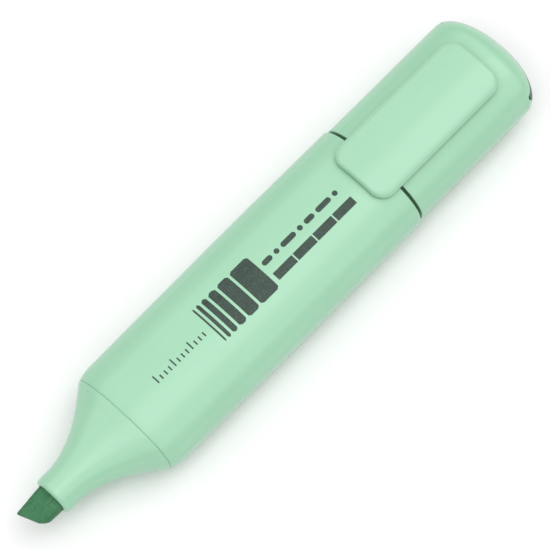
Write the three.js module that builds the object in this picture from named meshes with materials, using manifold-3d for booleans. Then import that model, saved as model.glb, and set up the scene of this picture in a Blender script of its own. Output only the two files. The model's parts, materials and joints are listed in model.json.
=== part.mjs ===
// A flat-oval highlighter pen that lies on its back, with its cap pushed onto the rear end.
// Millimetres. +X runs from the nib to the cap, +Z points up through the clip, and z = 0 is the table.
// Every piece is drawn about the pen's own axis, and the whole pen is then lifted onto the table.

import * as THREE from 'three';
import { mergeVertices } from 'three/addons/utils/BufferGeometryUtils.js';
import Module from 'manifold-3d';

const wasm = await Module();
wasm.setup();

// ---- driving dimensions ----------------------------------------------------------------------

const OVERALL_LENGTH = 139;
const TIP_X = -OVERALL_LENGTH / 2;
const END_X = OVERALL_LENGTH / 2;
const GAP = 0.3;                      // clearance between neighbouring pieces
const OVERLAP = 0.5;                  // how far shapes that are joined run into each other
const CUT_MARGIN = 0.1;               // how far a cutting shape reaches past what it trims

const BODY_HALF_WIDTH = 13.6;         // at the barrel's widest section
const BODY_HALF_THICKNESS = 8.5;
const BODY_POWER = 2.25;              // superellipse power of the flat-oval section
const LAND_DEPTH = 0.45;              // how much the flat on the barrel's back takes off
const AXIS_HEIGHT = BODY_HALF_THICKNESS - LAND_DEPTH;

const SEAM_X = -42;                   // where the barrel starts
const BARREL_REAR_X = 30;
const BARREL_WALL = 1.4;
const SEAM_INSET = 1;                 // how much smaller the barrel is at its front edge
const SHOULDER_INSET = 0.35;          // and just behind its front shoulder
const SHOULDER_LENGTH = 4;
const SHOULDER_POWER = 3;
const REAR_EDGE_RADIUS = 0.4;
const WIDEST_X = 6;                   // the barrel tapers very slightly from here to both ends
const TAPER_STEP = 15;
const TAPER_INSET = 0.1;
const REAR_TAPER_INSET = 0.05;
const SOCKET_INSET = 2.1;             // the barrel's bore at its front edge
const SOCKET_LENGTH = 5;
const SOCKET_RAMP = 1;                // the bore opens out behind the socket over this length

const LIP_X = -62.6;                  // front edge of the neck, where the nib comes out
const LIP_RADIUS = 0.8;
const NECK_HALF_WIDTH = 4.35;
const NECK_HALF_THICKNESS = 4.05;
const NECK_POWER = 2;
const FLARE_START_X = -59.5;
const FLARE_BEND_X = [-52.5, -46];    // the two handles of the flare's curve
const FLARE_BEND_HALF_WIDTH = 9.5;
const FLARE_BEND_HALF_THICKNESS = 5.8;
const FLARE_END_INSET = 1.05;
const THROAT_X = -47;                 // where the nib's bore opens out towards the reservoir
const THROAT_LENGTH = 0.5;
const THROAT_HALF_WIDTH = 5;
const THROAT_HALF_THICKNESS = 3.2;
const INSERT_REAR_X = -34;            // how far the front section reaches into the barrel
const INSERT_WALL = 0.9;

const NIB_HALF_WIDTH = 3.15;
const NIB_HALF_THICKNESS = 2.1;
const NIB_POWER = 4;
const NIB_EDGE_THICKNESS = 1.3;
const NIB_TIP_INSET = 0.45;           // the leading corner's distance in from the nib's side
const NIB_HEEL_SETBACK = 1.6;         // the writing edge is slanted by this much
const NIB_HEEL_INSET = 1.4;
const NIB_HEEL_LENGTH = 3.2;          // rounding from the writing edge into the side
const NIB_WEDGE_LENGTH = 5.4;         // the two faces close in over this length
const NIB_TAIL_HALF_WIDTH = 2;
const NIB_TAIL_HALF_THICKNESS = 1.5;
const NIB_TAIL_X = -44.5;
const NIB_REAR_X = -35.5;
const NIB_TAPER_LENGTH = 2;           // of the step down to the tail, and of the tail's own point

const CORE_HALF_WIDTH = 9.2;
const CORE_HALF_THICKNESS = 4.1;
const CORE_FRONT_X = -41;
const CORE_REAR_X = 22;
const FILM_THICKNESS = 0.35;
const BREATHER_RADIUS = 0.8;
const BREATHER_BORE_RADIUS = 0.45;
const BREATHER_Y = 11;
const BREATHER_FRONT_X = -33;
const RIB_FRONT_X = -33;
const RIB_REAR_X = 21.5;
const RIB_THICKNESS = 1;
const RIB_Y = 5;
const RIB_TOP_Z = 7.2;                // buried in the barrel's wall

const CAP_RIM_X = 30.85;
const CAP_HALF_WIDTH = 13.15;
const CAP_HALF_THICKNESS = 8;
const CAP_WALL = 1.25;
const CAP_RIM_ROUNDING = 0.3;
const CAP_DOME_LENGTH = 6.1;
const CAP_DOME_POWER = 2;
const BAR_PROUD = 0.05;               // how far the end bar stands out of the cap
const CAP_END_X = END_X - BAR_PROUD;
const CAP_FLOOR_X = 66.9;             // inside face of the domed end

const PLUG_FLANGE_INSET = 0.85;
const PLUG_FLANGE_THICKNESS = 0.3;
const PLUG_FRONT_X = 22.5;
const PLUG_WALL = 1.1;
const SPIGOT_LENGTH = 10;
const SPIGOT_CHAMFER = 0.8;
const WEB_FRONT_X = 28;
const WEB_REAR_X = 31.5;
const PLUG_BOSS_HALF_WIDTH = 4;
const PLUG_BOSS_HALF_THICKNESS = 2.6;

const CUP_MOUTH_X = 47.3;             // the inner cap's cup, which seals round the neck
const CUP_BORE_RADIUS = 4.65;
const CUP_BEAD_RADIUS = 4.5;
const CUP_BEAD_X = 48.5;
const CUP_BEAD_LENGTH = 1;
const CUP_MOUTH_CHAMFER = 0.3;
const CUP_TAPER = 0.4;
const CUP_WALL = 0.95;
const CUP_FLOOR_X = 59.3;
const CUP_END_X = 60.8;
const STEM_HALF_WIDTH = 6;
const BAR_FRONT_X = 64.4;
const BAR_HALF_LENGTH = 12.5;
const BAR_HALF_THICKNESS = 3.4;

const CLIP_LENGTH = 36.6;
const CLIP_WIDTH = 15;
const CLIP_CORNER_RADIUS = 3.4;
const CLIP_THICKNESS = 1.2;
const CLIP_FREE_END_X = 24.6;
const CLIP_CLEARANCE = 0.4;           // over the barrel's crown
const HINGE_X = 57.6;                 // the axis that the clip flexes about
const HINGE_Z = 8.2;                  // above the pen's axis
const FOOT_RADIUS = 1.1;
const FOOT_HALF_LENGTH = 4.4;
const FOOT_NECK_HALF_WIDTH = 0.7;
const BOSS_HALF_LENGTH = 2.4;
const BOSS_HALF_WIDTH = 6;
const BOSS_BOTTOM_Z = 5.8;
const BOSS_TOP_Z = 7.1;               // buried in the cap's wall

const SHELL_SIDES = 40;               // facets round each piece
const CORE_SIDES = 24;
const TUBE_SIDES = 12;
const CURVE_STEPS = 8;
const CORNER_STEPS = 4;
const MERGE_DISTANCE = 1e-4;
const REACH = 40;                     // longer than any cut that it is used for

// ---- materials -------------------------------------------------------------------------------

const MINT = { color: 0xaee3c2, roughness: 0.4 };
const DEEP_GREEN = { color: 0x2c553c, roughness: 0.45 };
const NIB_GREEN = { color: 0x3f8256, roughness: 0.85 };
const INK_GREEN = { color: 0x86cfa0, roughness: 0.95 };
const CLEAR_FILM = { color: 0xdfe8e6, roughness: 0.3 };
const MILKY = { color: 0xeceeea, roughness: 0.5 };

// ---- shape helpers ---------------------------------------------------------------------------

// One section of a piece: an oval of the given half sizes, standing across the pen at x.
function oval(x, halfWidth, halfThickness, power = BODY_POWER) {
  return { x, halfWidth, halfThickness, power };
}

// The barrel's widest section, made smaller all round by the inset.
function bodyOval(x, inset) {
  return oval(x, BODY_HALF_WIDTH - inset, BODY_HALF_THICKNESS - inset);
}

function capOval(x, inset) {
  return oval(x, CAP_HALF_WIDTH - inset, CAP_HALF_THICKNESS - inset);
}

function circle(x, radius) {
  return oval(x, radius, radius, 2);
}

function axisPoint(x) {
  return oval(x, 0, 0);
}

function signedPower(value, exponent) {
  return Math.sign(value) * Math.abs(value) ** exponent;
}

// A lathe whose rings are ovals instead of circles. Nothing reaches below the table.
function ovalLathe(stations, sides) {
  const profile = stations.map((station) => new THREE.Vector2(station.halfWidth, station.x));
  const geometry = new THREE.LatheGeometry(profile, sides);
  const position = geometry.attributes.position;
  for (let i = 0; i < position.count; i += 1) {
    const station = stations[i % stations.length];
    const turn = Math.floor(i / stations.length) % sides;
    const angle = (turn / sides) * Math.PI * 2;
    const exponent = 2 / station.power;
    const y = station.halfWidth * signedPower(Math.cos(angle), exponent);
    const z = station.halfThickness * signedPower(Math.sin(angle), exponent);
    position.setXYZ(i, station.x, y, Math.max(z, -AXIS_HEIGHT));
  }
  return geometry;
}

// A shell is its outer skin from front to back, then its inner skin from back to front.
function shellLathe(outer, inner, sides) {
  return ovalLathe([...outer, ...inner.toReversed(), outer[0]], sides);
}

function toSolid(geometry) {
  const bare = geometry.clone();
  bare.deleteAttribute('normal');
  bare.deleteAttribute('uv');
  const merged = mergeVertices(bare, MERGE_DISTANCE);
  const corners = merged.index.array;
  const triVerts = [];
  for (let i = 0; i < corners.length; i += 3) {
    const [a, b, c] = [corners[i], corners[i + 1], corners[i + 2]];
    if (a !== b && b !== c && c !== a) {
      triVerts.push(a, b, c);
    }
  }
  const vertProperties = Float32Array.from(merged.attributes.position.array);
  return new wasm.Manifold(new wasm.Mesh({
    numProp: 3,
    vertProperties,
    triVerts: Uint32Array.from(triVerts),
  }));
}

function toGeometry(solid) {
  const mesh = solid.getMesh();
  const geometry = new THREE.BufferGeometry();
  geometry.setAttribute('position', new THREE.BufferAttribute(mesh.vertProperties, mesh.numProp));
  geometry.setIndex(new THREE.BufferAttribute(mesh.triVerts, 1));
  return geometry;
}

// A solid block given by its lowest and highest corners.
function block(low, high) {
  const size = high.map((value, i) => value - low[i]);
  const middle = high.map((value, i) => (value + low[i]) / 2);
  const geometry = new THREE.BoxGeometry(...size);
  geometry.translate(...middle);
  return toSolid(geometry);
}

// A round bar across the pen, along Y.
function crossBar(x, z, radius, halfLength) {
  const geometry = new THREE.CylinderGeometry(radius, radius, 2 * halfLength, CORE_SIDES);
  geometry.translate(x, 0, z);
  return toSolid(geometry);
}

// A shape drawn in plan (x, y) and extruded up from z.
function planSolid(shape, z, height) {
  const options = { depth: height, bevelEnabled: false, curveSegments: CORNER_STEPS };
  const geometry = new THREE.ExtrudeGeometry(shape, options);
  geometry.translate(0, 0, z);
  return toSolid(geometry);
}

// A shape drawn in side view (x, z) and extruded across the pen.
function sideSolid(shape, halfWidth) {
  const geometry = new THREE.ExtrudeGeometry(shape, { depth: 2 * halfWidth, bevelEnabled: false });
  geometry.rotateX(Math.PI / 2);
  geometry.translate(0, halfWidth, 0);
  return toSolid(geometry);
}

// Height of the barrel's crown above the pen's axis, at a distance y from the middle.
function crownHeight(y) {
  return BODY_HALF_THICKNESS * (1 - (Math.abs(y) / BODY_HALF_WIDTH) ** BODY_POWER) ** (1 / BODY_POWER);
}

// ---- pieces fixed to the barrel --------------------------------------------------------------

// The outer skin of the front section's flare, from the round neck to the flat-oval seam.
function flareStations() {
  const seam = bodyOval(SEAM_X - GAP, FLARE_END_INSET);
  const curve = (neck, bend, end) => new THREE.CubicBezierCurve(
    new THREE.Vector2(FLARE_START_X, neck),
    new THREE.Vector2(FLARE_BEND_X[0], neck),
    new THREE.Vector2(FLARE_BEND_X[1], bend),
    new THREE.Vector2(seam.x, end),
  );
  const widths = curve(NECK_HALF_WIDTH, FLARE_BEND_HALF_WIDTH, seam.halfWidth);
  const thicknesses = curve(NECK_HALF_THICKNESS, FLARE_BEND_HALF_THICKNESS, seam.halfThickness);
  const stations = [];
  for (let i = 0; i <= CURVE_STEPS; i += 1) {
    const along = i / CURVE_STEPS;
    const width = widths.getPoint(along);
    const thickness = thicknesses.getPoint(along);
    const power = THREE.MathUtils.lerp(NECK_POWER, BODY_POWER, along);
    stations.push(oval(width.x, width.y, thickness.y, power));
  }
  return stations;
}

// A rounded edge, as how far it has run along the pen and drawn in, from its end face backwards.
function edgeSteps(radius) {
  const steps = [];
  for (let i = 0; i <= CORNER_STEPS; i += 1) {
    const angle = (i / CORNER_STEPS) * (Math.PI / 2);
    steps.push({ run: radius * (1 - Math.cos(angle)), inset: radius * (1 - Math.sin(angle)) });
  }
  return steps;
}

// The front section: a neck that holds the nib, a flare, and an insert that plugs into the barrel.
function makeFrontSection() {
  const lip = edgeSteps(LIP_RADIUS).map(({ run, inset }) => (
    oval(LIP_X + run, NECK_HALF_WIDTH - inset, NECK_HALF_THICKNESS - inset, NECK_POWER)
  ));
  const insertInset = SOCKET_INSET + GAP;
  const outer = [
    ...lip,
    ...flareStations(),
    bodyOval(SEAM_X - GAP, insertInset),
    bodyOval(INSERT_REAR_X, insertInset),
  ];
  const boreWidth = NIB_HALF_WIDTH + GAP;
  const boreThickness = NIB_HALF_THICKNESS + GAP;
  const inner = [
    oval(LIP_X, boreWidth, boreThickness, NIB_POWER),
    oval(THROAT_X, boreWidth, boreThickness, NIB_POWER),
    oval(THROAT_X + THROAT_LENGTH, THROAT_HALF_WIDTH, THROAT_HALF_THICKNESS),
    bodyOval(SEAM_X - GAP, insertInset + INSERT_WALL),
    bodyOval(INSERT_REAR_X, insertInset + INSERT_WALL),
  ];
  return shellLathe(outer, inner, SHELL_SIDES);
}

// The barrel: an open-ended oval tube with a rounded front shoulder, and ribs that hold the core.
function makeBarrel() {
  const shoulder = [];
  for (let i = 0; i <= CORNER_STEPS; i += 1) {
    const along = i / CORNER_STEPS;
    const inset = THREE.MathUtils.lerp(SHOULDER_INSET, SEAM_INSET, (1 - along) ** SHOULDER_POWER);
    shoulder.push(bodyOval(SEAM_X + SHOULDER_LENGTH * along, inset));
  }
  const rearEdge = edgeSteps(REAR_EDGE_RADIUS).toReversed().map(({ run, inset }) => (
    bodyOval(BARREL_REAR_X - run, REAR_TAPER_INSET + inset)
  ));
  const outer = [
    ...shoulder,
    bodyOval(WIDEST_X - 2 * TAPER_STEP, 2 * TAPER_INSET),
    bodyOval(WIDEST_X - TAPER_STEP, TAPER_INSET / 2),
    bodyOval(WIDEST_X, 0),
    ...rearEdge,
  ];
  const inner = [
    bodyOval(SEAM_X, SOCKET_INSET),
    bodyOval(SEAM_X + SOCKET_LENGTH, SOCKET_INSET),
    bodyOval(SEAM_X + SOCKET_LENGTH + SOCKET_RAMP, BARREL_WALL),
    bodyOval(BARREL_REAR_X, BARREL_WALL),
  ];
  let barrel = toSolid(shellLathe(outer, inner, SHELL_SIDES));
  const filmTop = CORE_HALF_THICKNESS + 2 * GAP + FILM_THICKNESS;
  const half = RIB_THICKNESS / 2;
  for (const y of [-RIB_Y, RIB_Y]) {
    for (const [low, high] of [[filmTop, RIB_TOP_Z], [-RIB_TOP_Z, -filmTop]]) {
      barrel = barrel.add(block([RIB_FRONT_X, y - half, low], [RIB_REAR_X, y + half, high]));
    }
  }
  return toGeometry(barrel);
}

// The nib's outline in plan: straight sides, a slanted writing edge and a rounded heel.
function nibOutline() {
  const side = NIB_HALF_WIDTH + CUT_MARGIN;
  const rearX = NIB_REAR_X + CUT_MARGIN;
  const heelX = TIP_X + NIB_HEEL_SETBACK;
  const roundedX = heelX + NIB_HEEL_LENGTH;
  const outline = new THREE.Shape();
  outline.moveTo(rearX, side);
  outline.lineTo(LIP_X, side);
  outline.lineTo(TIP_X, NIB_HALF_WIDTH - NIB_TIP_INSET);
  outline.lineTo(heelX, NIB_HEEL_INSET - NIB_HALF_WIDTH);
  outline.quadraticCurveTo(heelX + NIB_HEEL_LENGTH / 3, -NIB_HALF_WIDTH, roundedX, -NIB_HALF_WIDTH);
  outline.lineTo(LIP_X, -side);
  outline.lineTo(rearX, -side);
  return outline;
}

// The nib in side view: two faces that close in on the writing edge.
function nibWedge() {
  const wedge = new THREE.Shape();
  const halfEdge = NIB_EDGE_THICKNESS / 2;
  const full = NIB_HALF_THICKNESS + CUT_MARGIN;
  const corners = [
    [TIP_X - CUT_MARGIN, halfEdge],
    [TIP_X + NIB_WEDGE_LENGTH, full],
    [NIB_REAR_X + CUT_MARGIN, full],
  ];
  const mirrored = corners.toReversed().map(([x, z]) => [x, -z]);
  wedge.setFromPoints([...corners, ...mirrored].map(([x, z]) => new THREE.Vector2(x, z)));
  return wedge;
}

// The chisel nib, whose tail runs through the front section and into the ink reservoir.
function makeNib() {
  const stations = [
    axisPoint(TIP_X),
    oval(TIP_X, NIB_HALF_WIDTH, NIB_HALF_THICKNESS, NIB_POWER),
    oval(NIB_TAIL_X - NIB_TAPER_LENGTH, NIB_HALF_WIDTH, NIB_HALF_THICKNESS, NIB_POWER),
    oval(NIB_TAIL_X, NIB_TAIL_HALF_WIDTH, NIB_TAIL_HALF_THICKNESS, NIB_POWER),
    oval(NIB_REAR_X - NIB_TAPER_LENGTH, NIB_TAIL_HALF_WIDTH, NIB_TAIL_HALF_THICKNESS, NIB_POWER),
    oval(NIB_REAR_X, NIB_TAIL_HALF_WIDTH / 2, NIB_TAIL_HALF_THICKNESS / 2, NIB_POWER),
    axisPoint(NIB_REAR_X),
  ];
  const rod = toSolid(ovalLathe(stations, SHELL_SIDES));
  const plan = planSolid(nibOutline(), -REACH / 2, REACH);
  const side = sideSolid(nibWedge(), REACH / 2);
  return toGeometry(rod.intersect(plan).intersect(side));
}

// The ink reservoir, with a pocket in its front face for the nib's tail.
function makeReservoirCore() {
  const pocketWidth = NIB_TAIL_HALF_WIDTH + GAP;
  const pocketThickness = NIB_TAIL_HALF_THICKNESS + GAP;
  const pocketFloorX = NIB_REAR_X + 2 * GAP;
  return ovalLathe([
    axisPoint(pocketFloorX),
    oval(pocketFloorX, pocketWidth, pocketThickness, NIB_POWER),
    oval(CORE_FRONT_X, pocketWidth, pocketThickness, NIB_POWER),
    oval(CORE_FRONT_X, CORE_HALF_WIDTH, CORE_HALF_THICKNESS),
    oval(CORE_REAR_X, CORE_HALF_WIDTH, CORE_HALF_THICKNESS),
    axisPoint(CORE_REAR_X),
  ], CORE_SIDES);
}

// The plastic film wrapped round the reservoir.
function makeReservoirFilm() {
  const ends = [CORE_FRONT_X - GAP, CORE_REAR_X];
  const [innerWidth, innerThickness] = [CORE_HALF_WIDTH + GAP, CORE_HALF_THICKNESS + GAP];
  const inner = ends.map((x) => oval(x, innerWidth, innerThickness));
  const outer = ends.map((x) => oval(x, innerWidth + FILM_THICKNESS, innerThickness + FILM_THICKNESS));
  return shellLathe(outer, inner, CORE_SIDES);
}

// The thin straw that lets air past the reservoir.
function makeBreatherTube() {
  const ends = [BREATHER_FRONT_X, CORE_REAR_X];
  const outer = ends.map((x) => circle(x, BREATHER_RADIUS));
  const inner = ends.map((x) => circle(x, BREATHER_BORE_RADIUS));
  return shellLathe(outer, inner, TUBE_SIDES);
}

// The rear plug: an insert in the barrel, a thin flange, and the spigot that the cap posts onto.
function makeRearPlug() {
  const insertInset = BARREL_WALL + GAP;
  const spigotInset = BODY_HALF_WIDTH - (CAP_HALF_WIDTH - CAP_WALL - GAP);
  const spigotEndX = CAP_RIM_X + SPIGOT_LENGTH;
  const flangeRearX = BARREL_REAR_X + GAP + PLUG_FLANGE_THICKNESS;
  return ovalLathe([
    axisPoint(PLUG_FRONT_X),
    oval(PLUG_FRONT_X, PLUG_BOSS_HALF_WIDTH, PLUG_BOSS_HALF_THICKNESS),
    oval(WEB_FRONT_X, PLUG_BOSS_HALF_WIDTH, PLUG_BOSS_HALF_THICKNESS),
    bodyOval(WEB_FRONT_X, insertInset + PLUG_WALL),
    bodyOval(PLUG_FRONT_X, insertInset + PLUG_WALL),
    bodyOval(PLUG_FRONT_X, insertInset),
    bodyOval(BARREL_REAR_X + GAP, insertInset),
    bodyOval(BARREL_REAR_X + GAP, PLUG_FLANGE_INSET),
    bodyOval(flangeRearX, PLUG_FLANGE_INSET),
    bodyOval(flangeRearX, spigotInset),
    bodyOval(spigotEndX - SPIGOT_CHAMFER, spigotInset),
    bodyOval(spigotEndX, spigotInset + SPIGOT_CHAMFER),
    bodyOval(spigotEndX, spigotInset + SPIGOT_CHAMFER + PLUG_WALL),
    bodyOval(WEB_REAR_X, spigotInset + SPIGOT_CHAMFER + PLUG_WALL),
    axisPoint(WEB_REAR_X),
  ], SHELL_SIDES);
}

// ---- the cap ---------------------------------------------------------------------------------

// Sections of the domed end, from where it leaves the straight cap to its middle.
function domeStations(endX, halfWidth, halfThickness) {
  const stations = [];
  for (let i = 1; i < CURVE_STEPS; i += 1) {
    const angle = (i / CURVE_STEPS) * (Math.PI / 2);
    const along = Math.sin(angle) ** (2 / CAP_DOME_POWER);
    const across = Math.cos(angle) ** (2 / CAP_DOME_POWER);
    const x = endX - CAP_DOME_LENGTH * (1 - along);
    stations.push(oval(x, halfWidth * across, halfThickness * across));
  }
  stations.push(axisPoint(endX));
  return stations;
}

// The cap's outer skin, which the end bar follows too when it is moved out a little.
function capSkin(endX) {
  return [
    capOval(CAP_RIM_X + CAP_RIM_ROUNDING, 0),
    capOval(endX - CAP_DOME_LENGTH, 0),
    ...domeStations(endX, CAP_HALF_WIDTH, CAP_HALF_THICKNESS),
  ];
}

// The cap shell: an oval cup with a domed end, a slot for the end bar and a seat for the clip.
function makeCapShell() {
  const innerEndX = CAP_FLOOR_X;
  const innerWidth = CAP_HALF_WIDTH - CAP_WALL;
  const innerThickness = CAP_HALF_THICKNESS - CAP_WALL;
  const inner = [
    capOval(CAP_RIM_X, CAP_WALL),
    oval(innerEndX - CAP_DOME_LENGTH, innerWidth, innerThickness),
    ...domeStations(innerEndX, innerWidth, innerThickness),
  ];
  const outer = [capOval(CAP_RIM_X, CAP_RIM_ROUNDING), ...capSkin(CAP_END_X)];
  const shell = toSolid(ovalLathe([...inner.toReversed(), ...outer], SHELL_SIDES));
  const boss = block(
    [HINGE_X - BOSS_HALF_LENGTH, -BOSS_HALF_WIDTH, BOSS_BOTTOM_Z],
    [HINGE_X + BOSS_HALF_LENGTH, BOSS_HALF_WIDTH, BOSS_TOP_Z],
  );
  const seat = crossBar(HINGE_X, HINGE_Z, FOOT_RADIUS + GAP, FOOT_HALF_LENGTH + GAP);
  const slotHalfLength = BAR_HALF_LENGTH + GAP;
  const slotHalfThickness = BAR_HALF_THICKNESS + GAP;
  const slot = block(
    [BAR_FRONT_X - GAP, -slotHalfLength, -slotHalfThickness],
    [END_X + GAP, slotHalfLength, slotHalfThickness],
  );
  return toGeometry(shell.add(boss).subtract(seat).subtract(slot));
}

// The inner cap: a cup that seals the nib, a stem, and a bar that shows through the cap's end.
function makeInnerCap() {
  const cup = toSolid(ovalLathe([
    axisPoint(CUP_FLOOR_X),
    circle(CUP_FLOOR_X, CUP_BORE_RADIUS - CUP_TAPER),
    circle(CUP_BEAD_X + CUP_BEAD_LENGTH, CUP_BORE_RADIUS),
    circle(CUP_BEAD_X, CUP_BEAD_RADIUS),
    circle(CUP_MOUTH_X, CUP_BORE_RADIUS + CUP_MOUTH_CHAMFER),
    circle(CUP_MOUTH_X, CUP_BORE_RADIUS + CUP_WALL),
    circle(CUP_END_X, CUP_BORE_RADIUS + CUP_WALL),
    axisPoint(CUP_END_X),
  ], CORE_SIDES));
  const stem = block(
    [CUP_FLOOR_X + OVERLAP, -STEM_HALF_WIDTH, -BAR_HALF_THICKNESS],
    [BAR_FRONT_X + OVERLAP, STEM_HALF_WIDTH, BAR_HALF_THICKNESS],
  );
  const outerDome = toSolid(ovalLathe([axisPoint(CAP_RIM_X), ...capSkin(END_X)], SHELL_SIDES));
  const bar = block(
    [BAR_FRONT_X, -BAR_HALF_LENGTH, -BAR_HALF_THICKNESS],
    [END_X + GAP, BAR_HALF_LENGTH, BAR_HALF_THICKNESS],
  ).intersect(outerDome);
  return toGeometry(cup.add(stem).add(bar));
}

// The clip's outline in plan: a rectangle with rounded corners.
function clipOutline() {
  const outline = new THREE.Shape();
  const [left, right] = [CLIP_FREE_END_X, CLIP_FREE_END_X + CLIP_LENGTH];
  const half = CLIP_WIDTH / 2;
  const radius = CLIP_CORNER_RADIUS;
  outline.moveTo(left + radius, -half);
  outline.lineTo(right - radius, -half);
  outline.quadraticCurveTo(right, -half, right, -half + radius);
  outline.lineTo(right, half - radius);
  outline.quadraticCurveTo(right, half, right - radius, half);
  outline.lineTo(left + radius, half);
  outline.quadraticCurveTo(left, half, left, half - radius);
  outline.lineTo(left, -half + radius);
  outline.quadraticCurveTo(left, -half, left + radius, -half);
  return outline;
}

// An arched strip that follows the barrel's crown, long enough to cut the clip from.
function clipArch() {
  const half = CLIP_WIDTH / 2 + CUT_MARGIN;
  const under = [];
  const over = [];
  for (let i = 0; i <= 2 * CURVE_STEPS; i += 1) {
    const y = half * (i / CURVE_STEPS - 1);
    const z = crownHeight(y) + CLIP_CLEARANCE;
    under.push(new THREE.Vector2(y, z));
    over.push(new THREE.Vector2(y, z + CLIP_THICKNESS));
  }
  const section = new THREE.Shape([...under, ...over.toReversed()]);
  const geometry = new THREE.ExtrudeGeometry(section, { depth: 2 * REACH, bevelEnabled: false });
  geometry.rotateY(Math.PI / 2);
  geometry.rotateX(Math.PI / 2);
  return toSolid(geometry);
}

// The clip: an arched plate on a round foot that sits in the cap's seat.
function makeClip() {
  const plate = clipArch().intersect(planSolid(clipOutline(), 0, REACH));
  const foot = crossBar(HINGE_X, HINGE_Z, FOOT_RADIUS, FOOT_HALF_LENGTH);
  const neckTop = crownHeight(FOOT_HALF_LENGTH) + CLIP_CLEARANCE + OVERLAP;
  const neck = block(
    [HINGE_X - FOOT_NECK_HALF_WIDTH, -FOOT_HALF_LENGTH, HINGE_Z],
    [HINGE_X + FOOT_NECK_HALF_WIDTH, FOOT_HALF_LENGTH, neckTop],
  );
  return toGeometry(plate.add(foot).add(neck));
}

// ---- assembly --------------------------------------------------------------------------------

function addPiece(group, name, geometry, finish) {
  const mesh = new THREE.Mesh(geometry, new THREE.MeshStandardMaterial(finish));
  mesh.name = name;
  group.add(mesh);
  return mesh;
}

function makeBody() {
  const body = new THREE.Group();
  addPiece(body, 'barrel', makeBarrel(), MINT);
  addPiece(body, 'front_section', makeFrontSection(), MINT);
  addPiece(body, 'nib', makeNib(), NIB_GREEN);
  addPiece(body, 'reservoir_core', makeReservoirCore(), INK_GREEN);
  addPiece(body, 'reservoir_film', makeReservoirFilm(), CLEAR_FILM);
  const breather = addPiece(body, 'breather_tube', makeBreatherTube(), MILKY);
  breather.position.y = BREATHER_Y;
  addPiece(body, 'rear_plug', makeRearPlug(), DEEP_GREEN);
  return body;
}

function makeCap() {
  const cap = new THREE.Group();
  addPiece(cap, 'cap_shell', makeCapShell(), MINT);
  addPiece(cap, 'inner_cap', makeInnerCap(), DEEP_GREEN);
  addPiece(cap, 'clip', makeClip(), MINT);
  return cap;
}

const highlighter = new THREE.Group();
highlighter.add(makeBody(), makeCap());
highlighter.position.z = AXIS_HEIGHT;

export default highlighter;
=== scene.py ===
import json
import math

import bmesh
import bpy
from mathutils import Matrix, Vector, noise


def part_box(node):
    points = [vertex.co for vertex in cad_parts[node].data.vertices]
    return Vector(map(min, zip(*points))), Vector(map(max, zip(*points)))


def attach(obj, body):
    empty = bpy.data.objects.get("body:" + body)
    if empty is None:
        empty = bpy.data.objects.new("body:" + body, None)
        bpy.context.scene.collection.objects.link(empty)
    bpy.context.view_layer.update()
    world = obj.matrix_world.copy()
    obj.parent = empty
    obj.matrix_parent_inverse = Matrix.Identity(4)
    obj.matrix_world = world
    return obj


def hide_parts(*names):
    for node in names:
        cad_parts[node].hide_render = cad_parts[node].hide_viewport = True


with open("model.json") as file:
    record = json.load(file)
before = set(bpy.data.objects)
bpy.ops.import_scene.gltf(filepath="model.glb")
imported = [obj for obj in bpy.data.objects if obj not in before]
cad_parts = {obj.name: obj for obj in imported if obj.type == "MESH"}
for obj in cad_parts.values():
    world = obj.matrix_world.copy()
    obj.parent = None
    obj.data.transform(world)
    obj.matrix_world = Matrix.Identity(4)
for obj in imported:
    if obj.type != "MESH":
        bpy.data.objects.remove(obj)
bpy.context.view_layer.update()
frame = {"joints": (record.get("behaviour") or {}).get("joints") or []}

# ---- dimensions, in millimetres ----------------------------------------------------------------
# +X runs from the nib to the cap and +Z up through the clip. Heights called z are above the pen's axis.

MM = 0.001


def node_box(name):
    """A CAD node's lowest and highest corners, in millimetres."""
    low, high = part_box(name)
    return low / MM, high / MM


BARREL_LOW, BARREL_HIGH = node_box("barrel")
FRONT_LOW, FRONT_HIGH = node_box("front_section")
NIB_LOW, NIB_HIGH = node_box("nib")
CORE_LOW, CORE_HIGH = node_box("reservoir_core")
FILM_LOW, FILM_HIGH = node_box("reservoir_film")
TUBE_LOW, TUBE_HIGH = node_box("breather_tube")
PLUG_LOW, PLUG_HIGH = node_box("rear_plug")
CAP_LOW, CAP_HIGH = node_box("cap_shell")
INNER_LOW, INNER_HIGH = node_box("inner_cap")
CLIP_LOW, CLIP_HIGH = node_box("clip")
HINGE = next(Vector(joint["pos_m"]) / MM for joint in frame["joints"] if joint["name"] == "clip_flex")

AXIS_Z = (NIB_LOW.z + NIB_HIGH.z) / 2
HALF_WIDTH = BARREL_HIGH.y
HALF_THICKNESS = BARREL_HIGH.z - AXIS_Z
POWER = 2.25                    # superellipse power of the flat-oval section
LAND_SOFTNESS = 0.12            # how gently the flat on the back begins
CLEARANCE = 0.3                 # between pieces that don't show
HAIRLINE = 0.08                 # between pieces that do
OVERLAP = 0.5                   # how far solids that are joined run into each other
CUT_MARGIN = 1                  # how far a cutting block reaches past what it cuts

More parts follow.
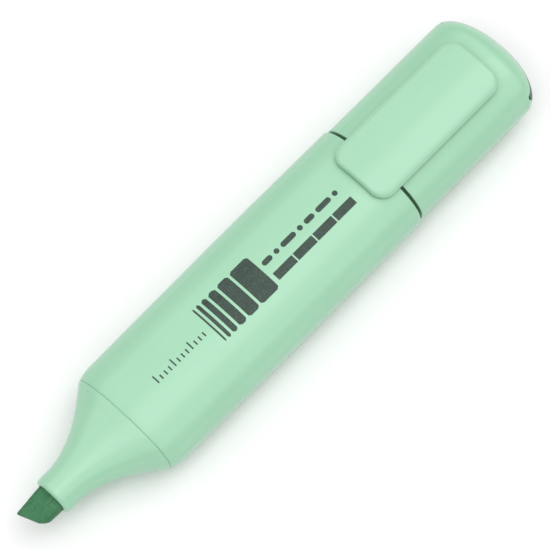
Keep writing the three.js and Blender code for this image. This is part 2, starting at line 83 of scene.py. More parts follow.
SEAM_X = BARREL_LOW.x
BARREL_REAR_X = BARREL_HIGH.x
BARREL_WALL = 1.4
SHOULDER_LENGTH = 4
SHOULDER_INSET = 0.35
SHOULDER_POWER = 3
FRONT_TAPER_POWER = 1.5
SEAM_INSET = 1.0
FLARE_EASE = 0.15               # the flare is rounded off by this much where it meets the seam
FLARE_EASE_LENGTH = 1.6
WIDEST_X = 6
REAR_TAPER = 0.05
SOCKET_INSET = 2.1
SOCKET_LENGTH = 5
SOCKET_RAMP = 1
BARREL_EDGE = 0.3
SEAM_EDGE = 0.09
SEAM_GAP = 0.22
SEAM_DEPTH = 0.1                # the front seam is a groove this deep, down to a ledge
LEDGE_GAP = 0.01
RIB_Y = 5
RIB_HALF = 0.5
RIB_TOP_Z = 7.3
RIB_END_GAP = 1                 # between a rib's ends and the pieces pushed into the barrel
RIB_EDGE = 0.1

LIP_X = FRONT_LOW.x
LIP_RADIUS = 0.8
NECK_HALF_WIDTH = 4.35
NECK_HALF_THICKNESS = 4.05
FLARE_START_X = -59.5
FLARE_BEND_X = (-52.5, -46)
FLARE_BEND_HALF_WIDTH = 9.5
FLARE_BEND_HALF_THICKNESS = 5.8
THROAT_X = -47
THROAT_LENGTH = 0.5
THROAT_HALF_WIDTH = 5
THROAT_HALF_THICKNESS = 3.2
INSERT_WALL = 0.9

NIB_HALF_WIDTH = 3.15
NIB_HALF_THICKNESS = (NIB_HIGH.z - NIB_LOW.z) / 2
NIB_POWER = 4
NIB_EDGE_HALF = 0.65            # half the thickness of the writing edge
NIB_TIP_Y = 2.7                 # where the writing edge starts, on the leading side
NIB_HEEL_Y = -1.75              # and where it ends
NIB_HEEL_SETBACK = 1.6
NIB_HEEL_LENGTH = 3.2
NIB_WEDGE_LENGTH = 5.4
NIB_ROUNDING = 0.22
NIB_STEPS = 60                  # sections along the nib, closest together at its tip
NIB_STEP_GROWTH = 1.3
NIB_CLOSING = (0.25, 0.5, 0.75)  # sizes of the shrunken sections that close the writing edge
NIB_SEED = 1
NIB_RELIEF = 0.035              # how far the fibres stand out
NIB_RELIEF_SCALE = Vector((0.5, 2.6, 2.6))
NIB_RELIEF_AT_EDGE = 0.3        # share of the relief that is left at the writing edge
NIB_RELIEF_GROWTH = 0.5         # and the share it gains with each millimetre behind the edge
NIB_TAIL_X = -44.5
NIB_TAIL_HALF_WIDTH = 2
NIB_TAIL_HALF_THICKNESS = 1.5
NIB_TAIL_RAMP = 2
NIB_TAIL_END_HALF_WIDTH = 1
NIB_TAIL_END_HALF_THICKNESS = 0.75

CORE_EDGE = 0.4
FILM_EDGE = 0.08
TUBE_WALL = 0.35
TUBE_EDGE = 0.06

CAP_RIM_X = CAP_LOW.x
CAP_HALF_WIDTH = CAP_HIGH.y
CAP_HALF_THICKNESS = 8
CAP_WALL = 1.25
CAP_EDGE = 0.22
BAR_PROUD = 0.05                # how far the end bar stands out of the cap
CAP_END_X = INNER_HIGH.x - BAR_PROUD
CAP_FLOOR_X = 66.9
DOME_LENGTH = 6.1
DOME_POWER = 2

FLANGE_FRONT_X = 30.3
FLANGE_REAR_X = 30.6
FLANGE_INSET = 0.85
PLUG_WALL = 1.1
SPIGOT_CHAMFER = 0.8
WEB_FRONT_X = 28
WEB_REAR_X = 31.5
PLUG_BOSS_HALF_WIDTH = 4
PLUG_BOSS_HALF_THICKNESS = 2.6
PLUG_EDGE = 0.25

CUP_BORE_RADIUS = 4.65
CUP_BEAD_RADIUS = 4.5
CUP_BEAD_X = 48.5
CUP_BEAD_LENGTH = 1
CUP_EDGE = 0.2
CUP_TAPER = 0.4
CUP_WALL = 0.95
CUP_FLOOR_X = 59.3
CUP_END_X = 60.8
STEM_HALF_WIDTH = 6
STEM_EDGE = 0.3
BAR_FRONT_X = 64.4
BAR_HALF_LENGTH = 12.5
BAR_HALF_THICKNESS = 3.4
BAR_EDGE = 0.25
BAR_DOME_EDGE = 0.1

CLIP_HALF_WIDTH = CLIP_HIGH.y
CLIP_THICKNESS = 1.2
CLIP_CLEARANCE = CLIP_HIGH.z - AXIS_Z - HALF_THICKNESS - CLIP_THICKNESS
CLIP_CORNER_RADIUS = 3.4
CLIP_TOP_EDGE = 0.9             # rounding of the clip's upper edge
CLIP_UNDER_EDGE = 0.3
CLIP_SPINE = 0.05               # half width of the strip left along the clip's middle
CLIP_STRAIGHT_STEPS = 16
FOOT_RADIUS = 1.1
FOOT_HALF_LENGTH = 4.4
FOOT_EDGE = 0.15
FOOT_NECK_HALF = 0.7
FOOT_NECK_EDGE = 0.1
CLIP_BOSS_HALF_LENGTH = 2.4     # the block inside the cap that holds the clip's foot
CLIP_BOSS_HALF_WIDTH = 6
CLIP_BOSS_BOTTOM_Z = 5.8
CLIP_BOSS_TOP_Z = 7.1
CLIP_BOSS_EDGE = 0.2
SEAT_EDGE = 0.1

SIDES = 176                     # facets round a piece that shows
INNER_SIDES = 96                # and round one that doesn't
CURVE_STEPS = 28
CORNER_STEPS = 6
CORNER_REACH = 0.45             # the most of a side that the rounding of a corner may use
CORNER_ANGLE = math.radians(22)  # corners sharper than this are rounded
SHARP_ANGLE = math.radians(50)   # edges sharper than this are shaded sharp


# ---- shape helpers -----------------------------------------------------------------------------

def oval(x, half_width, half_thickness, power=POWER):
    """One section of a piece, standing across the pen at x."""
    return Vector((x, half_width, half_thickness, power))


def body_oval(x, inset):
    return oval(x, HALF_WIDTH - inset, HALF_THICKNESS - inset)


def cap_oval(x, inset):
    return oval(x, CAP_HALF_WIDTH - inset, CAP_HALF_THICKNESS - inset)


def circle(x, radius):
    return oval(x, radius, radius, 2)


def axis_point(x, power=POWER):
    return oval(x, 0, 0, power)


def lerp(a, b, share):
    return a + (b - a) * share


def signed_power(value, exponent):
    return math.copysign(abs(value) ** exponent, value)


def landed(z):
    """Height above the pen's axis, eased onto the flat that the pen lies on."""
    above = z + AXIS_Z
    return (above + math.hypot(above, LAND_SOFTNESS)) / 2 - AXIS_Z


def crown_height(y):
    """Height of the barrel's widest section above the axis, at a distance y from the middle."""
    return HALF_THICKNESS * (1 - (abs(y) / HALF_WIDTH) ** POWER) ** (1 / POWER)


def soften(stations, radius, closed):
    """Rounds each sharp corner of a profile, and leaves its smooth curves alone."""
    count = len(stations)
    softened = []
    for i, here in enumerate(stations):
        if not closed and i in (0, count - 1):
            softened.append(here)
            continue
        before, after = stations[i - 1] - here, stations[(i + 1) % count] - here
        reach_before, reach_after = before.to_3d().length, after.to_3d().length
        turn = math.pi - before.to_3d().angle(after.to_3d(), math.pi)
        if turn < CORNER_ANGLE:
            softened.append(here)
            continue
        start = here + before * min(radius / reach_before, CORNER_REACH)
        end = here + after * min(radius / reach_after, CORNER_REACH)
        for k in range(CORNER_STEPS + 1):
            share = k / CORNER_STEPS
            softened.append(start.lerp(here, share).lerp(here.lerp(end, share), share))
    return softened


def new_piece(name, bm):
    """An object from a mesh in millimetres about the pen's axis, moved into the row frame in metres."""
    for vertex in bm.verts:
        vertex.co = Vector((vertex.co.x, vertex.co.y, vertex.co.z + AXIS_Z)) * MM
    bmesh.ops.recalc_face_normals(bm, faces=bm.faces)
    mesh = bpy.data.meshes.new(name)
    bm.to_mesh(mesh)
    bm.free()
    piece = bpy.data.objects.new(name, mesh)
    bpy.context.scene.collection.objects.link(piece)
    return piece


def ring_at(bm, station, sides):
    """The vertices of one section, or its single vertex where it has shrunk to the axis."""
    x, half_width, half_thickness, power = station
    if half_width == 0:
        return [bm.verts.new((x, 0, 0))]
    ring = []
    for k in range(sides):
        angle = 2 * math.pi * k / sides
        y = half_width * signed_power(math.cos(angle), 2 / power)
        z = half_thickness * signed_power(math.sin(angle), 2 / power)
        ring.append(bm.verts.new((x, y, landed(z))))
    return ring


def skin(bm, first, second):
    """Faces between two neighbouring rings, either of which may be a single vertex."""
    sides = max(len(first), len(second))
    for k in range(sides):
        after = (k + 1) % sides
        corners = [first[k % len(first)], first[after % len(first)]]
        corners += [second[after % len(second)], second[k % len(second)]]
        bm.faces.new(list(dict.fromkeys(corners)))


def loft(name, stations, radius, closed=False, sides=SIDES):
    """A piece skinned over a run of ovals. A closed run is a wall with a hole through it."""
    bm = bmesh.new()
    rings = [ring_at(bm, station, sides) for station in soften(stations, radius, closed)]
    for first, second in zip(rings, rings[1:]):
        skin(bm, first, second)
    if closed:
        skin(bm, rings[-1], rings[0])
    return new_piece(name, bm)


def block(name, low, high, radius):
    """A block with rounded edges, given by its lowest and highest corners."""
    low, high = Vector(low), Vector(high)
    bm = bmesh.new()
    bmesh.ops.create_cube(bm, size=1)
    bmesh.ops.scale(bm, vec=high - low, verts=bm.verts)
    bmesh.ops.translate(bm, vec=(low + high) / 2, verts=bm.verts)
    bmesh.ops.bevel(bm, geom=bm.edges[:], offset=radius, segments=CORNER_STEPS, affect="EDGES", profile=0.5)
    return new_piece(name, bm)


def cross_bar(name, x, z, radius, half_length, edge):
    """A round bar across the pen with rounded ends."""
    bm = bmesh.new()
    bmesh.ops.create_cone(bm, cap_ends=True, segments=INNER_SIDES // 2, radius1=radius, radius2=radius,
                          depth=2 * half_length, matrix=Matrix.Rotation(math.pi / 2, 4, "X"))
    rims = [line for line in bm.edges if abs(line.verts[0].co.y - line.verts[1].co.y) < edge]
    bmesh.ops.bevel(bm, geom=rims, offset=edge, segments=CORNER_STEPS, affect="EDGES", profile=0.5)
    bmesh.ops.translate(bm, vec=(x, 0, z), verts=bm.verts)
    return new_piece(name, bm)


def combine(piece, other, operation):
    """Joins another solid to a piece, cuts it away or keeps what they share, and removes the other."""
    modifier = piece.modifiers.new(operation, "BOOLEAN")
    modifier.operation = operation
    modifier.solver = "EXACT"
    modifier.object = other
    depsgraph = bpy.context.evaluated_depsgraph_get()
    mesh = bpy.data.meshes.new_from_object(piece.evaluated_get(depsgraph))
    piece.modifiers.clear()
    piece.data = mesh
    bpy.data.objects.remove(other)
    return piece


# ---- pieces fixed to the barrel ----------------------------------------------------------------

def barrel_inset(x):
    """How much smaller the barrel is at x than at its widest section."""
    if x > WIDEST_X:
        return REAR_TAPER * ((x - WIDEST_X) / (BARREL_REAR_X - WIDEST_X)) ** 2
    shoulder_rear = SEAM_X + SHOULDER_LENGTH
    if x > shoulder_rear:
        return SHOULDER_INSET * ((WIDEST_X - x) / (WIDEST_X - shoulder_rear)) ** FRONT_TAPER_POWER
    forward = (shoulder_rear - x) / SHOULDER_LENGTH
    return lerp(SHOULDER_INSET, SEAM_INSET, forward ** SHOULDER_POWER)


def make_barrel():
    outer = []
    for k in range(CURVE_STEPS + 1):
        x = lerp(SEAM_X, SEAM_X + 2 * SHOULDER_LENGTH, k / CURVE_STEPS)
        outer.append(body_oval(x, barrel_inset(x)))
    for k in range(1, CURVE_STEPS + 1):
        x = lerp(SEAM_X + 2 * SHOULDER_LENGTH, BARREL_REAR_X, k / CURVE_STEPS)
        outer.append(body_oval(x, barrel_inset(x)))
    inner = [
        body_oval(BARREL_REAR_X, BARREL_WALL),
        body_oval(SEAM_X + SOCKET_LENGTH + SOCKET_RAMP, BARREL_WALL),
        body_oval(SEAM_X + SOCKET_LENGTH, SOCKET_INSET),
        body_oval(SEAM_X, SOCKET_INSET),
    ]
    barrel = loft("barrel_moulding", outer + inner, BARREL_EDGE, closed=True)
    film_top = FILM_HIGH.z - AXIS_Z + CLEARANCE
    front_x = FRONT_HIGH.x + RIB_END_GAP
    rear_x = PLUG_LOW.x - RIB_END_GAP
    for y in (-RIB_Y, RIB_Y):
        for low, high in ((film_top, RIB_TOP_Z), (-RIB_TOP_Z, -film_top)):
            rib = block("rib", (front_x, y - RIB_HALF, low), (rear_x, y + RIB_HALF, high), RIB_EDGE)
            combine(barrel, rib, "UNION")
    return barrel


def bezier(points, share):
    """A point on the cubic curve with these four control points."""
    while len(points) > 1:
        points = [a.lerp(b, share) for a, b in zip(points, points[1:])]
    return points[0]


def eased(station):
    """The flare's section, made a little smaller as it nears the seam."""
    near = max(0, 1 - (SEAM_X - station[0]) / FLARE_EASE_LENGTH)
    drop = FLARE_EASE * near ** 2
    return station - Vector((0, drop, drop, 0))


def make_front_section():
    lip = []
    for k in range(CORNER_STEPS + 1):
        angle = math.pi / 2 * k / CORNER_STEPS
        inset = LIP_RADIUS * (1 - math.sin(angle))
        x = LIP_X + LIP_RADIUS * (1 - math.cos(angle))
        lip.append(oval(x, NECK_HALF_WIDTH - inset, NECK_HALF_THICKNESS - inset, 2))
    seam = body_oval(SEAM_X - SEAM_GAP, SEAM_INSET - FLARE_EASE)
    neck = (NECK_HALF_WIDTH, NECK_HALF_THICKNESS)
    bend = (FLARE_BEND_HALF_WIDTH, FLARE_BEND_HALF_THICKNESS)
    handles = [
        oval(FLARE_START_X, *neck, 2),
        oval(FLARE_BEND_X[0], *neck, lerp(2, POWER, 1 / 3)),
        oval(FLARE_BEND_X[1], *bend, lerp(2, POWER, 2 / 3)),
        seam,
    ]
    flare = [eased(bezier(handles, k / CURVE_STEPS)) for k in range(CURVE_STEPS + 1)]
    insert_inset = SOCKET_INSET + CLEARANCE
    bore = (NIB_HALF_WIDTH + HAIRLINE, NIB_HALF_THICKNESS + HAIRLINE, NIB_POWER)
    rest = [
        body_oval(SEAM_X - SEAM_GAP, SEAM_INSET + SEAM_DEPTH),
        body_oval(SEAM_X - LEDGE_GAP, SEAM_INSET + SEAM_DEPTH),
        body_oval(SEAM_X - LEDGE_GAP, insert_inset),
        body_oval(FRONT_HIGH.x, insert_inset),
        body_oval(FRONT_HIGH.x, insert_inset + INSERT_WALL),
        body_oval(SEAM_X, insert_inset + INSERT_WALL),
        oval(THROAT_X + THROAT_LENGTH, THROAT_HALF_WIDTH, THROAT_HALF_THICKNESS),
        oval(THROAT_X, *bore),
        oval(LIP_X, *bore),
    ]
    return loft("front_section_moulding", lip + flare + rest, SEAM_EDGE, closed=True)


def nib_station(x):
    """The nib's lower and upper side and its half thickness, where x is measured from the tip."""
    heel_share = min(x / NIB_HEEL_LENGTH, 1)
    low_y = lerp(NIB_HEEL_Y, -NIB_HALF_WIDTH, 1 - (1 - heel_share) ** 2)
    high_y = lerp(NIB_TIP_Y, NIB_HALF_WIDTH, min(x / (LIP_X - NIB_LOW.x), 1))
    half = lerp(NIB_EDGE_HALF, NIB_HALF_THICKNESS, min(x / NIB_WEDGE_LENGTH, 1))
    return low_y, high_y, half


def make_nib():
    """The chisel nib. Its sections lean over towards the tip, which slants the writing edge."""
    noise.seed_set(NIB_SEED)    # without a seed, the clock offsets the vector noise
    bm = bmesh.new()
    edge = NIB_ROUNDING
    profile = []
    for k in range(CORNER_STEPS + 1):
        angle = math.pi / 2 * k / CORNER_STEPS
        profile.append((edge * (1 - math.cos(angle)), edge * (1 - math.sin(angle))))
    length = NIB_TAIL_X - NIB_TAIL_RAMP - NIB_LOW.x
    for k in range(1, NIB_STEPS + 1):
        profile.append((lerp(edge, length, (k / NIB_STEPS) ** NIB_STEP_GROWTH), 0))
    rings = [[bm.verts.new((NIB_LOW.x + NIB_HEEL_SETBACK / 2, (NIB_TIP_Y + NIB_HEEL_Y) / 2, 0))]]
    for share in NIB_CLOSING:
        rings.append(nib_ring(bm, 0, edge, share))
    for x, inset in profile:
        rings.append(nib_ring(bm, x, inset, 1))
    tail = (NIB_TAIL_HALF_WIDTH, NIB_TAIL_HALF_THICKNESS, NIB_POWER)
    rings.append(ring_at(bm, oval(NIB_TAIL_X, *tail), SIDES))
    tail_end = (NIB_TAIL_END_HALF_WIDTH, NIB_TAIL_END_HALF_THICKNESS, NIB_POWER)
    rings.append(ring_at(bm, oval(NIB_HIGH.x - NIB_TAIL_RAMP, *tail), SIDES))
    rings.append(ring_at(bm, oval(NIB_HIGH.x, *tail_end), SIDES))
    rings.append([bm.verts.new((NIB_HIGH.x, 0, 0))])
    for first, second in zip(rings, rings[1:]):
        skin(bm, first, second)
    return new_piece("nib_felt", bm)


def nib_ring(bm, x, inset, share):
    """One leaning section of the nib. The share shrinks it, to close the writing edge."""
    low_y, high_y, half = nib_station(x)
    lean = max(0, 1 - x / NIB_WEDGE_LENGTH)
    ring = []
    for k in range(SIDES):
        angle = 2 * math.pi * k / SIDES
        across = signed_power(math.cos(angle), 2 / NIB_POWER) * share
        y = lerp(low_y + inset, high_y - inset, (across + 1) / 2)
        z = (half - inset) * signed_power(math.sin(angle), 2 / NIB_POWER) * share
        back = NIB_HEEL_SETBACK * lean * (1 - across) / 2
        point = Vector((NIB_LOW.x + x + back, y, z))
        rough = noise.noise_vector(point * NIB_RELIEF_SCALE) * NIB_RELIEF
        rough.x = max(rough.x, 0)
        strength = min(1, (1 - share) + NIB_RELIEF_AT_EDGE + x * NIB_RELIEF_GROWTH)
        ring.append(bm.verts.new(point + rough * strength))
    return ring


def make_reservoir_core():
    pocket = (NIB_TAIL_HALF_WIDTH + CLEARANCE, NIB_TAIL_HALF_THICKNESS + CLEARANCE, NIB_POWER)
    pocket_floor_x = NIB_HIGH.x + 2 * CLEARANCE
    half_width = CORE_HIGH.y
    half_thickness = CORE_HIGH.z - AXIS_Z
    return loft("reservoir_bundle", [
        axis_point(pocket_floor_x, NIB_POWER),
        oval(pocket_floor_x, *pocket),
        oval(CORE_LOW.x, *pocket),
        oval(CORE_LOW.x, half_width, half_thickness),
        oval(CORE_HIGH.x, half_width, half_thickness),
        axis_point(CORE_HIGH.x),
    ], CORE_EDGE, sides=INNER_SIDES)


def make_reservoir_film():
    thickness = FILM_HIGH.y - CORE_HIGH.y - CLEARANCE
    ends = (FILM_LOW.x, FILM_HIGH.x)
    outer = [oval(x, FILM_HIGH.y, FILM_HIGH.z - AXIS_Z) for x in ends]
    inner = [oval(x, FILM_HIGH.y - thickness, FILM_HIGH.z - AXIS_Z - thickness) for x in reversed(ends)]
    return loft("reservoir_wrap", outer + inner, FILM_EDGE, closed=True, sides=INNER_SIDES)


def make_breather_tube():
    radius = (TUBE_HIGH.y - TUBE_LOW.y) / 2
    ends = (TUBE_LOW.x, TUBE_HIGH.x)
    outer = [circle(x, radius) for x in ends]
    inner = [circle(x, radius - TUBE_WALL) for x in reversed(ends)]
    tube = loft("breather_straw", outer + inner, TUBE_EDGE, closed=True, sides=INNER_SIDES // 2)
    tube.data.transform(Matrix.Translation((0, (TUBE_LOW.y + TUBE_HIGH.y) / 2 * MM, 0)))
    return tube


def make_rear_plug():
    insert_inset = BARREL_WALL + CLEARANCE
    spigot_inset = HALF_WIDTH - (CAP_HALF_WIDTH - CAP_WALL - CLEARANCE)
    bore_inset = spigot_inset + SPIGOT_CHAMFER + PLUG_WALL
    return loft("rear_plug_moulding", [
        axis_point(PLUG_LOW.x),
        oval(PLUG_LOW.x, PLUG_BOSS_HALF_WIDTH, PLUG_BOSS_HALF_THICKNESS),
        oval(WEB_FRONT_X, PLUG_BOSS_HALF_WIDTH, PLUG_BOSS_HALF_THICKNESS),
        body_oval(WEB_FRONT_X, insert_inset + PLUG_WALL),
        body_oval(PLUG_LOW.x, insert_inset + PLUG_WALL),
        body_oval(PLUG_LOW.x, insert_inset),
        body_oval(FLANGE_FRONT_X, insert_inset),
        body_oval(FLANGE_FRONT_X, FLANGE_INSET),
        body_oval(FLANGE_REAR_X, FLANGE_INSET),
        body_oval(FLANGE_REAR_X, spigot_inset),
        body_oval(PLUG_HIGH.x - SPIGOT_CHAMFER, spigot_inset),
        body_oval(PLUG_HIGH.x, spigot_inset + SPIGOT_CHAMFER),
        body_oval(PLUG_HIGH.x, bore_inset),
        body_oval(WEB_REAR_X, bore_inset),
        axis_point(WEB_REAR_X),
    ], PLUG_EDGE)


# ---- the cap -----------------------------------------------------------------------------------

def dome(end_x, half_width, half_thickness):
    """Sections of the domed end, from where it leaves the straight cap to its middle."""
    stations = []
    for k in range(1, CURVE_STEPS):
        angle = math.pi / 2 * k / CURVE_STEPS
        along = math.sin(angle) ** (2 / DOME_POWER)
        across = math.cos(angle) ** (2 / DOME_POWER)
        x = end_x - DOME_LENGTH * (1 - along)
        stations.append(oval(x, half_width * across, half_thickness * across))
    return stations + [axis_point(end_x)]


def make_cap_shell():
    inner_sizes = (CAP_HALF_WIDTH - CAP_WALL, CAP_HALF_THICKNESS - CAP_WALL)
    inner = [cap_oval(CAP_RIM_X, CAP_WALL), oval(CAP_FLOOR_X - DOME_LENGTH, *inner_sizes)]
    inner += dome(CAP_FLOOR_X, *inner_sizes)
    outer = [cap_oval(CAP_RIM_X, 0), cap_oval(CAP_END_X - DOME_LENGTH, 0)]
    outer += dome(CAP_END_X, CAP_HALF_WIDTH, CAP_HALF_THICKNESS)
    shell = loft("cap_moulding", inner[::-1] + outer, CAP_EDGE)
    hinge_z = HINGE.z - AXIS_Z
    low = (HINGE.x - CLIP_BOSS_HALF_LENGTH, -CLIP_BOSS_HALF_WIDTH, CLIP_BOSS_BOTTOM_Z)
    high = (HINGE.x + CLIP_BOSS_HALF_LENGTH, CLIP_BOSS_HALF_WIDTH, CLIP_BOSS_TOP_Z)
    combine(shell, block("boss", low, high, CLIP_BOSS_EDGE), "UNION")
    radius, half_length = FOOT_RADIUS + CLEARANCE, FOOT_HALF_LENGTH + CLEARANCE
    seat = cross_bar("seat", HINGE.x, hinge_z, radius, half_length, SEAT_EDGE)
    combine(shell, seat, "DIFFERENCE")
    slot_half = (BAR_HALF_LENGTH + HAIRLINE, BAR_HALF_THICKNESS + HAIRLINE)
    low = (BAR_FRONT_X - CLEARANCE, -slot_half[0], -slot_half[1])
    high = (INNER_HIGH.x + CUT_MARGIN, *slot_half)
    combine(shell, block("slot", low, high, BAR_EDGE), "DIFFERENCE")
    return shell


def make_inner_cap():
    inner = loft("inner_cap_moulding", [
        axis_point(CUP_FLOOR_X, 2),
        circle(CUP_FLOOR_X, CUP_BORE_RADIUS - CUP_TAPER),
        circle(CUP_BEAD_X + CUP_BEAD_LENGTH, CUP_BORE_RADIUS),
        circle(CUP_BEAD_X, CUP_BEAD_RADIUS),
        circle(INNER_LOW.x, CUP_BORE_RADIUS + CLEARANCE),
        circle(INNER_LOW.x, CUP_BORE_RADIUS + CUP_WALL),
        circle(CUP_END_X, CUP_BORE_RADIUS + CUP_WALL),
        axis_point(CUP_END_X, 2),
    ], CUP_EDGE, sides=INNER_SIDES)
    low = (CUP_FLOOR_X + OVERLAP, -STEM_HALF_WIDTH, -BAR_HALF_THICKNESS)
    high = (BAR_FRONT_X + OVERLAP, STEM_HALF_WIDTH, BAR_HALF_THICKNESS)
    combine(inner, block("stem", low, high, STEM_EDGE), "UNION")
    low = (BAR_FRONT_X, -BAR_HALF_LENGTH, -BAR_HALF_THICKNESS)
    high = (INNER_HIGH.x + CUT_MARGIN, BAR_HALF_LENGTH, BAR_HALF_THICKNESS)
    bar = block("bar", low, high, BAR_EDGE)
    outer = [axis_point(CAP_RIM_X), cap_oval(CAP_RIM_X, 0), cap_oval(INNER_HIGH.x - DOME_LENGTH, 0)]
    outer += dome(INNER_HIGH.x, CAP_HALF_WIDTH, CAP_HALF_THICKNESS)
    combine(bar, loft("outer_dome", outer, BAR_DOME_EDGE), "INTERSECT")
    return combine(inner, bar, "UNION")


def clip_loop(inset):
    """The clip's outline in plan, drawn in by the inset, with the same number of points at every inset."""
    half_length = (CLIP_HIGH.x - CLIP_LOW.x) / 2 - inset
    half_width = CLIP_HALF_WIDTH - inset
    radius = max(CLIP_CORNER_RADIUS - inset, 0)
    middle_x = (CLIP_LOW.x + CLIP_HIGH.x) / 2
    corners = [(1, 1), (-1, 1), (-1, -1), (1, -1)]
    points = []
    for i, (side_x, side_y) in enumerate(corners):
        for k in range(CURVE_STEPS // 2):
            angle = math.pi / 2 * (i + k / (CURVE_STEPS // 2 - 1))
            x = side_x * (half_length - radius) + radius * math.cos(angle)
            y = side_y * (half_width - radius) + radius * math.sin(angle)
            points.append(Vector((x, y)))
        following = corners[(i + 1) % 4]
        end = Vector((following[0] * (half_length - radius), following[1] * (half_width - radius)))
        turn = math.pi / 2 * (i + 1)
        end += Vector((math.cos(turn), math.sin(turn))) * radius
        steps = CLIP_STRAIGHT_STEPS
        points += [points[-1].lerp(end, k / steps) for k in range(1, steps)]
    return [Vector((middle_x + p.x, p.y)) for p in points]


def clip_layers():
    """Insets and heights round the clip's edge, from the middle of its top to that of its underside."""
    layers = []
    spine = CLIP_HALF_WIDTH - CLIP_SPINE
    for k in range(CURVE_STEPS // 2):
        layers.append((lerp(spine, CLIP_TOP_EDGE, k / (CURVE_STEPS // 2)), CLIP_THICKNESS))
    for k in range(CORNER_STEPS + 1):
        angle = math.pi / 2 * k / CORNER_STEPS
        drop = CLIP_TOP_EDGE * (1 - math.cos(angle))
        layers.append((CLIP_TOP_EDGE * (1 - math.sin(angle)), CLIP_THICKNESS - drop))
    for k in range(CORNER_STEPS + 1):
        angle = math.pi / 2 * k / CORNER_STEPS
        rise = CLIP_UNDER_EDGE * (1 - math.sin(angle))
        layers.append((CLIP_UNDER_EDGE * (1 - math.cos(angle)), rise))
    for k in range(1, CURVE_STEPS // 2 + 1):
        layers.append((lerp(CLIP_UNDER_EDGE, spine, k / (CURVE_STEPS // 2)), 0))
    return layers


def make_clip():
    bm = bmesh.new()
    rings = []
    for inset, height in clip_layers():
        ring = []
        for point in clip_loop(inset):
            z = crown_height(point.y) + CLIP_CLEARANCE + height
            ring.append(bm.verts.new((point.x, point.y, z)))
        rings.append(ring)
    for first, second in zip(rings, rings[1:]):
        skin(bm, first, second)
    bm.faces.new(rings[0])
    bm.faces.new(rings[-1])
    clip = new_piece("clip_moulding", bm)
    hinge_z = HINGE.z - AXIS_Z
    foot = cross_bar("foot", HINGE.x, hinge_z, FOOT_RADIUS, FOOT_HALF_LENGTH, FOOT_EDGE)
    combine(clip, foot, "UNION")
    top = crown_height(FOOT_HALF_LENGTH) + CLIP_CLEARANCE + OVERLAP
    low = (HINGE.x - FOOT_NECK_HALF, -FOOT_HALF_LENGTH, hinge_z)
    high = (HINGE.x + FOOT_NECK_HALF, FOOT_HALF_LENGTH, top)
    return combine(clip, block("neck", low, high, FOOT_NECK_EDGE), "UNION")


# ---- materials ---------------------------------------------------------------------------------

def linear(red, green, blue):
    """A colour given in 0 to 255 screen values, as the shader wants it."""
    return tuple(((c / 255 + 0.055) / 1.055) ** 2.4 for c in (red, green, blue)) + (1,)


class Shader:
    """A material under construction: each method adds one node and returns its output."""

    def __init__(self, name, **constants):
        self.material = bpy.data.materials.new(name)
        self.material.use_nodes = True
        self.tree = self.material.node_tree
        self.surface = self.tree.nodes["Principled BSDF"]
        for socket, value in constants.items():
            self.surface.inputs[socket.replace("_", " ")].default_value = value
        self.place = self.tree.nodes.new("ShaderNodeTexCoord").outputs["Object"]

    def node(self, kind, links=(), **values):
        made = self.tree.nodes.new("ShaderNode" + kind)
        for name, value in values.items():
            setattr(made, name, value)
        for socket, source in links:
            if isinstance(source, bpy.types.NodeSocket):
                self.tree.links.new(source, made.inputs[socket])
            else:
                made.inputs[socket].default_value = source
        return made

    def grain(self, size, stretch=1, detail=3, roughness=0.55):
        """Noise whose blobs are about this many millimetres across, drawn out along the pen."""
        scale = (1 / (MM * size * stretch), 1 / (MM * size), 1 / (MM * size))
        place = self.node("Mapping", [("Vector", self.place), ("Scale", scale)]).outputs["Vector"]
        links = [("Vector", place), ("Scale", 1), ("Detail", detail), ("Roughness", roughness)]
        return self.node("TexNoise", links).outputs["Fac"]

    def span(self, value, low, high, start=0.3, end=0.7):
        """The value carried from start..end to low..high."""
        links = [(0, value), (1, start), (2, end), (3, low), (4, high)]
        return self.node("MapRange", links).outputs["Result"]

    def blend(self, share, first, second, blend_type="MIX"):
        mix = self.node("Mix", data_type="RGBA", blend_type=blend_type)
        for socket, source in ((0, share), (6, first), (7, second)):
            if isinstance(source, bpy.types.NodeSocket):
                self.tree.links.new(source, mix.inputs[socket])
            else:
                mix.inputs[socket].default_value = source
        return mix.outputs[2]

    def sum(self, first, second):
        return self.node("Math", [(0, first), (1, second)], operation="ADD").outputs[0]

    def product(self, first, second):
        return self.node("Math", [(0, first), (1, second)], operation="MULTIPLY").outputs[0]

    def relief(self, layers):
        """Bump from (height, depth in millimetres) layers."""
        normal = None
        for height, depth in layers:
            links = [("Height", height), ("Distance", depth * MM), ("Strength", 1)]
            if normal:
                links.append(("Normal", normal))
            normal = self.node("Bump", links).outputs["Normal"]
        self.tree.links.new(normal, self.surface.inputs["Normal"])

    def set(self, socket, source):
        self.tree.links.new(source, self.surface.inputs[socket])


def moulded_plastic(name, pale, deep, gloss, **constants):
    """Satin moulded plastic: faint flow lines, a fine orange-peel, and light handling marks."""
    shader = Shader(name, **constants)
    clouds = shader.span(shader.grain(14, 2), 0, 1)
    flow = shader.span(shader.grain(1.6, 14), 0, 1)
    mottle = shader.grain(0.35, 1, 2)
    scuffs = shader.span(shader.grain(0.12, 26, 4, 0.7), 0, 1, 0.6, 0.78)
    share = shader.sum(shader.product(clouds, 0.5), shader.product(flow, 0.3))
    colour = shader.blend(shader.sum(share, shader.product(mottle, 0.2)), pale, deep)
    shader.set("Base Color", colour)
    rough = shader.sum(shader.span(clouds, gloss, gloss + 0.05, 0, 1), shader.product(scuffs, 0.08))
    shader.set("Roughness", shader.sum(rough, shader.product(mottle, 0.05)))
    shader.relief([(shader.grain(9, 2, 1), 0.012), (mottle, 0.0012), (scuffs, -0.0008)])
    return shader.material


def make_mint_plastic():
    return moulded_plastic("mint_plastic", linear(159, 207, 176), linear(153, 203, 171), 0.15)


